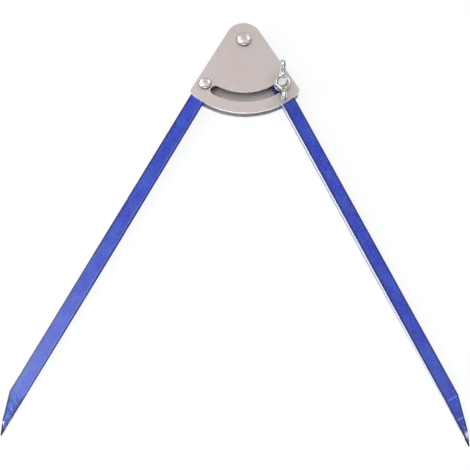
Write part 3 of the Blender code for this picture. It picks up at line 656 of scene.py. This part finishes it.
def peen_rivet(name, shank_radius):
    low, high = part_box(name)
    centre = ((low[0] + high[0]) / 2, (low[1] + high[1]) / 2)
    head_radius = (high[0] - low[0]) / 2
    tail_radius = head_radius - 0.0006
    shoulder = head_seat + head_side_height
    rise = high[2] - shoulder
    power = 2 / head_roundness
    profile = [(0, high[2])]
    for ring in range(1, head_rings + 1):
        angle = math.pi / 2 * (1 - ring / head_rings)
        profile.append((head_radius * math.cos(angle) ** power, shoulder + rise * math.sin(angle) ** power))
    profile += [(head_radius, head_seat), (shank_radius, head_seat), (shank_radius, tail_height),
                (tail_radius, tail_height)]
    for ring in range(5):
        angle = math.pi / 2 * ring / 4
        profile.append((tail_radius - tail_edge_round * (1 - math.cos(angle)),
                        tail_edge_round * (1 - math.sin(angle))))
    profile.append((0, 0))
    data = turned_mesh(name + "_peened", profile, centre)
    base = Vector((*centre, shoulder))
    for bearing, lean, depth in head_blows:
        bearing, lean = math.radians(bearing), math.radians(lean)
        blow = Vector((math.sin(lean) * math.cos(bearing), math.sin(lean) * math.sin(bearing), math.cos(lean)))
        over = [(vertex, (vertex.co - base).dot(blow)) for vertex in data.vertices if vertex.co.z > shoulder]
        flat = max(height for vertex, height in over) - depth * rise
        for vertex, height in over:
            if height > flat:
                vertex.co -= blow * (height - flat) * 0.8
    hand_over(add_piece(name + "_peened", data), name, "frame_assembly", rivet_steel, 50.0)


peen_rivet("pivot_rivet", 0.005)
peen_rivet("fixed_leg_rivet", 0.004)


# Washer: punched from sheet, so its upper rim is rolled over and its lower rim is sharp

rolled_rim = 0.0004
punched_rim = 0.0001


def punch_washer():
    low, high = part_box("clamp_washer")
    centre = ((low[0] + high[0]) / 2, (low[1] + high[1]) / 2)
    outer = (high[0] - low[0]) / 2
    inner = stud_radius + 0.0003
    top, bottom = high[2], low[2]
    profile = [(inner, top - rolled_rim / 2), (inner + rolled_rim / 2, top)]
    for step in range(5):
        angle = math.pi / 2 * step / 4
        profile.append((outer - rolled_rim * (1 - math.sin(angle)), top - rolled_rim * (1 - math.cos(angle))))
    profile += [(outer, bottom + punched_rim), (outer - punched_rim, bottom), (inner, bottom),
                (inner, top - rolled_rim / 2)]
    data = turned_mesh("punched_washer", profile, centre)
    joined = bmesh.new()
    joined.from_mesh(data)
    bmesh.ops.remove_doubles(joined, verts=joined.verts, dist=0.000001)
    joined.to_mesh(data)
    joined.free()
    hand_over(add_piece("punched_washer", data), "clamp_washer", "washer", zinc_washer)


punch_washer()


# Stud: a real right-hand thread, M10 with a pitch of 1.5 mm, above a plain shank and a riveted tail

thread_pitch = 0.0015
thread_depth = 0.00092
thread_samples = 10
thread_run_out = 0.0012


def thread_stud():
    low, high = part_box("lock_stud")
    centre = ((low[0] + high[0]) / 2, (low[1] + high[1]) / 2)
    top = high[2]
    profile = [(0, top), (stud_radius * 0.55, top), (stud_radius - stud_end_chamfer, top)]
    rows = int((top - leg_front) / thread_pitch * thread_samples)
    profile += [(stud_radius, top - stud_end_chamfer - (top - leg_front) * row / rows) for row in range(rows)]
    profile += [(stud_radius, leg_back + stud_tail_depth), (stud_tail_radius, leg_back), (0, leg_back)]
    data = turned_mesh("threaded_stud", profile, centre)
    for vertex in data.vertices:
        x, y, z = vertex.co.x - centre[0], vertex.co.y - centre[1], vertex.co.z
        radius = math.hypot(x, y)
        if radius < stud_radius - stud_end_chamfer / 2 or z < leg_front:
            continue
        phase = (z / thread_pitch - math.atan2(y, x) / (2 * math.pi)) % 1.0
        flank = max(min(abs(2 * phase - 1) * 1.25 - 0.125, 1.0), 0.0)
        cut = thread_depth * flank * ease(z, leg_front, leg_front + thread_run_out)
        cut *= 1 - 0.5 * ease(z, top - 2 * stud_end_chamfer, top - stud_end_chamfer)
        vertex.co.x = centre[0] + x * (radius - cut) / radius
        vertex.co.y = centre[1] + y * (radius - cut) / radius
    hand_over(add_piece("threaded_stud", data), "lock_stud", "swing_leg_assembly", zinc_steel)


thread_stud()


# Wing nut: the solid without its bore, melted into one skin with cast fillets, with a parting ridge
# down the middle of its wings, and bored again afterwards

cast_voxel = 0.00033
cast_smoothing = 8
parting_half_width = 0.00045
parting_height = 0.00028
groove_depth = 0.00028
bore_radius = 0.0053
bore_mouth_chamfer = 0.0011


def cast_wing_nut():
    low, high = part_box("wing_nut")
    middle_x = (low[0] + high[0]) / 2
    stud_low, stud_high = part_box("lock_stud")
    axis = ((stud_low[0] + stud_high[0]) / 2, (stud_low[1] + stud_high[1]) / 2)
    hub_top = stud_high[2] - 0.0006
    base = low[2]

    plug = turned_mesh("plug", [(0, hub_top), (0.0072, hub_top), (0.0072, base), (0, base)], axis, 64)
    casting = bmesh.new()
    casting.from_mesh(nodes["wing_nut"].data)
    casting.from_mesh(plug)
    data = bpy.data.meshes.new("cast_wing_nut")
    casting.to_mesh(data)
    casting.free()
    nut = add_piece("cast_wing_nut", data)
    melt = nut.modifiers.new("melted_together", 'REMESH')
    melt.mode = 'VOXEL'
    melt.voxel_size = cast_voxel
    soften = nut.modifiers.new("cast_fillets", 'SMOOTH')
    soften.factor = 0.5
    soften.iterations = cast_smoothing
    settle(nut)

    for vertex in nut.data.vertices:
        away = abs(vertex.co.x - middle_x)
        reach = abs(vertex.co.y - axis[1])
        if away < parting_half_width and reach > 0.009:
            ridge = parting_height * math.cos(away / parting_half_width * math.pi / 2)
            vertex.co += vertex.normal * ridge * ease(reach, 0.009, 0.012)
        beside = abs(away - groove_offset)
        if beside < groove_half_width and reach > 0.009 and vertex.normal.z > 0.2:
            groove = groove_depth * math.cos(beside / groove_half_width * math.pi / 2)
            vertex.co -= vertex.normal * groove * ease(reach, 0.009, 0.012)

    mouth = bore_radius + bore_mouth_chamfer
    far = 0.002
    blast = nut.modifiers.new("shot_blasted", 'SMOOTH')
    blast.factor = 0.5
    blast.iterations = 3
    bore = add_piece("bore", turned_mesh(
        "bore", [(0, hub_top + far), (mouth, hub_top + far), (mouth, hub_top), (bore_radius, hub_top - bore_mouth_chamfer),
                 (bore_radius, base - far), (0, base - far)], axis))
    drill = nut.modifiers.new("bored", 'BOOLEAN')
    drill.operation = 'DIFFERENCE'
    drill.solver = 'EXACT'
    drill.object = bore
    settle(nut)
    bpy.data.objects.remove(bore, do_unlink=True)
    hand_over(nut, "wing_nut", "nut", zinc_casting, 40.0)


cast_wing_nut()


# Floor, tilted to the plane that the compass really rests on: both tips and the fixed leg's rivet

tip_zone = 0.0015
rivet_tail_zone = 0.0012
floor_size = 12.0
floor_gap = 0.0001


def lowest_corner(name):
    """The lowest vertex of a leg's solid at its far end."""
    places = [vertex.co for vertex in nodes[name].data.vertices]
    reach = max(place.xy.length for place in places)
    return min((place for place in places if place.xy.length > reach - tip_zone), key=lambda place: place.z).copy()


def resting_plane():
    """Point and upward normal of the plane under the compass."""
    left = lowest_corner("fixed_leg")
    right = lowest_corner("swing_leg")
    best = None
    for vertex in nodes["fixed_leg_rivet"].data.vertices:
        normal = (right - left).cross(vertex.co - left).normalized()
        tilt = math.hypot(normal.x, normal.y)
        if vertex.co.z < rivet_tail_zone and (best is None or tilt > best[0]):
            best = (tilt, vertex.co.copy(), normal)
    return best[1], best[2]


def make_floor():
    place, normal = resting_plane()
    mesh = bpy.data.meshes.new("floor")
    half = floor_size / 2
    mesh.from_pydata([(-half, -half, 0), (half, -half, 0), (half, half, 0), (-half, half, 0)], [], [(0, 1, 2, 3)])
    floor = add_piece("floor", mesh)
    floor.location = place - normal * floor_gap
    floor.rotation_mode = 'QUATERNION'
    floor.rotation_quaternion = normal.to_track_quat('Z', 'Y')
    dress_node(floor, white_sweep())


make_floor()


# Light

compass_middle = Vector((0.0, -0.22, 0.0))


def add_softbox(name, place, width, height, power, colour=(1.0, 1.0, 1.0)):
    lamp = bpy.data.lights.new(name, 'AREA')
    lamp.shape = 'RECTANGLE'
    lamp.size = width
    lamp.size_y = height
    lamp.energy = power
    lamp.color = colour
    softbox = bpy.data.objects.new(name, lamp)
    bpy.context.scene.collection.objects.link(softbox)
    softbox.location = place
    softbox.rotation_mode = 'QUATERNION'
    softbox.rotation_quaternion = (compass_middle - Vector(place)).to_track_quat('-Z', 'Y')


cool_white = (0.82, 0.94, 1.0)
add_softbox("upper_left_softbox", (-1.2, 0.9, 1.3), 0.7, 0.7, 10.0)
add_softbox("upper_right_softbox", (1.2, 0.8, 1.3), 0.7, 0.7, 7.0)
add_softbox("low_left_softbox", (-1.5, -0.35, 0.75), 0.8, 0.5, 12.5)
add_softbox("low_front_softbox", (0.0, -1.6, 0.62), 0.9, 0.12, 7.0)
add_softbox("overhead_left_softbox", (-0.62, -0.37, 1.35), 0.7, 0.7, 10.0, cool_white)
add_softbox("overhead_right_softbox", (0.66, -0.45, 1.35), 0.5, 0.5, 1.2, cool_white)


def light_world():
    """A white room, darker on the photographer's side. What the camera and the metal see of it is white at 1,
    and what lights the compass is less."""
    world = bpy.data.worlds.new("studio")
    bpy.context.scene.world = world
    world.use_nodes = True
    tree = world.node_tree
    tree.nodes.clear()
    direction = add_node(tree, 'ShaderNodeTexCoord')
    toward = add_node(tree, 'ShaderNodeVectorMath', {"operation": 'DOT_PRODUCT'},
                      {0: direction.outputs["Generated"], 1: tuple(Vector((0.1, -0.62, 0.55)).normalized())})
    shade = add_node(tree, 'ShaderNodeMapRange', {"interpolation_type": 'SMOOTHSTEP'},
                     {"Value": toward.outputs["Value"], "From Min": 0.78, "From Max": 0.97,
                      "To Min": 1.0, "To Max": 0.25})
    path = add_node(tree, 'ShaderNodeLightPath')
    shown = add_node(tree, 'ShaderNodeMath', {"operation": 'MAXIMUM'},
                     {0: path.outputs["Is Camera Ray"], 1: path.outputs["Is Glossy Ray"]})
    shown = add_node(tree, 'ShaderNodeMath', {"operation": 'MAXIMUM'},
                     {0: shown.outputs[0], 1: path.outputs["Is Transmission Ray"]})
    level = add_node(tree, 'ShaderNodeMapRange', {"interpolation_type": 'LINEAR'},
                     {"Value": shown.outputs[0], "To Min": 0.30, "To Max": 1.0})
    strength = add_node(tree, 'ShaderNodeMath', {"operation": 'MULTIPLY'},
                        {0: level.outputs["Result"], 1: shade.outputs["Result"]})
    background = add_node(tree, 'ShaderNodeBackground', {},
                          {"Color": linear("#FFFFFF"), "Strength": strength.outputs[0]})
    add_node(tree, 'ShaderNodeOutputWorld', {}, {"Surface": background.outputs["Background"]})


light_world()


# Camera

def add_camera():
    data = bpy.data.cameras.new("camera")
    data.sensor_width = sensor_width_mm
    data.lens = focal_pixels / frame_pixels * sensor_width_mm
    camera = bpy.data.objects.new("camera", data)
    bpy.context.scene.collection.objects.link(camera)
    camera.location = camera_place
    camera.rotation_mode = 'ZYX'
    camera.rotation_euler = camera_turn
    bpy.context.scene.camera = camera


add_camera()
bpy.context.scene.view_settings.view_transform = 'Standard'
